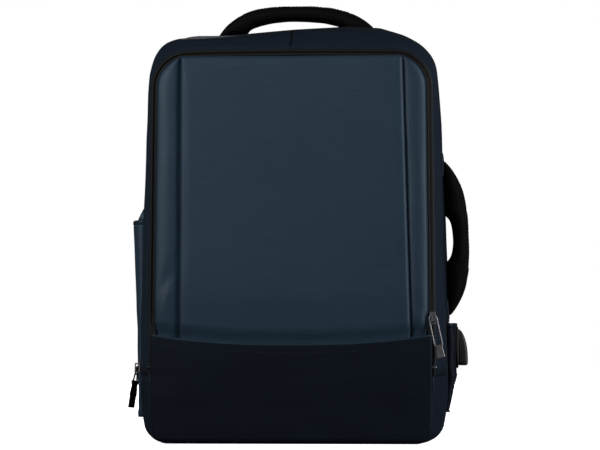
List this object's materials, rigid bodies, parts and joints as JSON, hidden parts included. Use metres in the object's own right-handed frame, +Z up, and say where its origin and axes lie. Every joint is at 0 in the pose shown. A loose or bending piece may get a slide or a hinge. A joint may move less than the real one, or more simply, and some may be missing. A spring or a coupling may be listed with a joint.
{
  "type": "travel backpack",
  "caption": "Slim rectangular backpack with a raised front panel, zipped front and main compartments, grab handles and a side charging port.",
  "frame": {"origin": "centre of the base where it stands", "axes": "+Z up, the front faces -Y, +X is the right-hand side seen from the front"},
  "size_m": [0.3703, 0.1878, 0.4773],
  "materials": {
    "navy_fabric": "coated polyester with a fine horizontal rib, slightly glossy",
    "dark_fabric": "coated polyester, satin",
    "lining": "woven lining, matt",
    "zip_tape": "woven tape with a coil",
    "webbing": "ribbed webbing, matt",
    "air_mesh": "open spacer mesh over foam",
    "gunmetal": "dark plated, semi-gloss",
    "bright_steel": "bright plated",
    "rubber": "smooth, satin",
    "plastic": "fine texture",
    "cell": "printed wrap, plain",
    "circuit_board": "solder mask"
  },
  "bodies": {
    "bag_body": {"boot_gusset": "dark_fabric", "lower_panel": "navy_fabric", "rear_gusset": "dark_fabric", "back_panel": "dark_fabric", "main_zip_tape_rear": "zip_tape", "base_board": "plastic", "back_pad_upper": "air_mesh", "back_pad_lower": "air_mesh", "luggage_band": "dark_fabric", "left_side_pocket": "navy_fabric", "left_pocket_hem": "webbing", "right_side_pocket": "navy_fabric", "right_pocket_hem": "webbing", "top_handle_foot_left": "dark_fabric", "top_handle_foot_right": "dark_fabric", "side_handle_foot_upper": "dark_fabric", "side_handle_foot_lower": "dark_fabric", "strap_yoke": "dark_fabric", "left_corner_tab": "dark_fabric", "right_corner_tab": "dark_fabric", "port_housing": "rubber", "usb_shell": "bright_steel", "usb_tongue": "plastic", "laptop_sleeve": "lining", "bank_pocket": "lining", "bank_case_front": "plastic", "bank_case_back": "plastic", "battery_cell_1": "cell", "battery_cell_2": "cell", "charge_board": "circuit_board", "usb_plug": "plastic", "usb_lead": "rubber"},
    "front_half": {"front_gusset": "navy_fabric", "main_zip_tape_front": "zip_tape", "front_zip_tape_outer": "zip_tape", "lower_panel_hem": "navy_fabric", "front_floor": "lining", "divider": "lining", "organizer_pocket": "lining"},
    "front_flap": {"front_panel": "navy_fabric", "centre_panel": "navy_fabric", "front_zip_tape_inner": "zip_tape"},
    "front_slider": {"front_zip_slider": "gunmetal"},
    "front_pull": {"front_zip_pull": "gunmetal"},
    "main_slider": {"main_zip_slider": "gunmetal"},
    "main_pull": {"main_zip_pull": "gunmetal"},
    "top_handle": {"top_handle_grip": "webbing"},
    "side_handle": {"side_handle_grip": "webbing"},
    "left_strap": {"left_shoulder_strap": "air_mesh", "left_ladder_lock": "plastic", "left_strap_tail": "webbing"},
    "left_webbing": {"left_lower_webbing": "webbing"},
    "right_strap": {"right_shoulder_strap": "air_mesh", "right_ladder_lock": "plastic", "right_strap_tail": "webbing"},
    "right_webbing": {"right_lower_webbing": "webbing"},
    "bank_button": {"power_button": "plastic"}
  },
  "joints": [
    {"name": "main_opening", "type": "hinge", "parent": "bag_body", "child": "front_half", "pos_m": [0, -0.0803, 0.07], "axis": [1, 0, 0], "range_deg": [0, 50]},
    {"name": "front_opening", "type": "hinge", "parent": "front_half", "child": "front_flap", "pos_m": [0, -0.0803, 0.1124], "axis": [1, 0, 0], "range_deg": [0, 36]},
    {"name": "front_zip_travel", "type": "slide", "parent": "front_flap", "child": "front_slider", "axis": [-0.0065, 0, 1], "range_m": [0, 0.23]},
    {"name": "front_pull_swing", "type": "hinge", "parent": "front_slider", "child": "front_pull", "pos_m": [0.1477, -0.0724, 0.1325], "axis": [-1, 0, 0], "range_deg": [0, 150]},
    {"name": "main_zip_travel", "type": "slide", "parent": "bag_body", "child": "main_slider", "axis": [0.0267, 0, 0.9996], "range_m": [0, 0.28]},
    {"name": "main_pull_swing", "type": "hinge", "parent": "main_slider", "child": "main_pull", "pos_m": [-0.17019, -0.0106, 0.07807], "axis": [0, 1, 0], "range_deg": [-5, 140]},
    {"name": "top_handle_swing", "type": "hinge", "parent": "bag_body", "child": "top_handle", "pos_m": [0.0015, 0.022, 0.4514], "axis": [1, 0, 0], "range_deg": [-25, 25]},
    {"name": "side_handle_swing", "type": "hinge", "parent": "bag_body", "child": "side_handle", "pos_m": [0.1683, 0.022, 0.2195], "axis": [0.0301, 0, -0.9995], "range_deg": [-25, 25]},
    {"name": "left_strap_lift", "type": "hinge", "parent": "bag_body", "child": "left_strap", "pos_m": [-0.056, 0.0708, 0.425], "axis": [1, 0, 0], "range_deg": [0, 8]},
    {"name": "left_webbing_lift", "type": "hinge", "parent": "bag_body", "child": "left_webbing", "pos_m": [-0.1265, 0.0706, 0.036], "axis": [-1, 0, 0], "range_deg": [0, 14]},
    {"name": "right_strap_lift", "type": "hinge", "parent": "bag_body", "child": "right_strap", "pos_m": [0.056, 0.0708, 0.425], "axis": [1, 0, 0], "range_deg": [0, 8]},
    {"name": "right_webbing_lift", "type": "hinge", "parent": "bag_body", "child": "right_webbing", "pos_m": [0.1265, 0.0706, 0.036], "axis": [-1, 0, 0], "range_deg": [0, 14]},
    {"name": "bank_button_press", "type": "slide", "parent": "bag_body", "child": "bank_button", "axis": [0, 1, 0], "range_m": [0, 0.0008], "stiffness_N_per_m": 400, "springref_m": -0.0004}
  ],
  "couplings": [
    {"joint": "left_webbing_lift", "follows": "left_strap_lift", "ratio": 1.6},
    {"joint": "right_webbing_lift", "follows": "right_strap_lift", "ratio": 1.6}
  ]
}
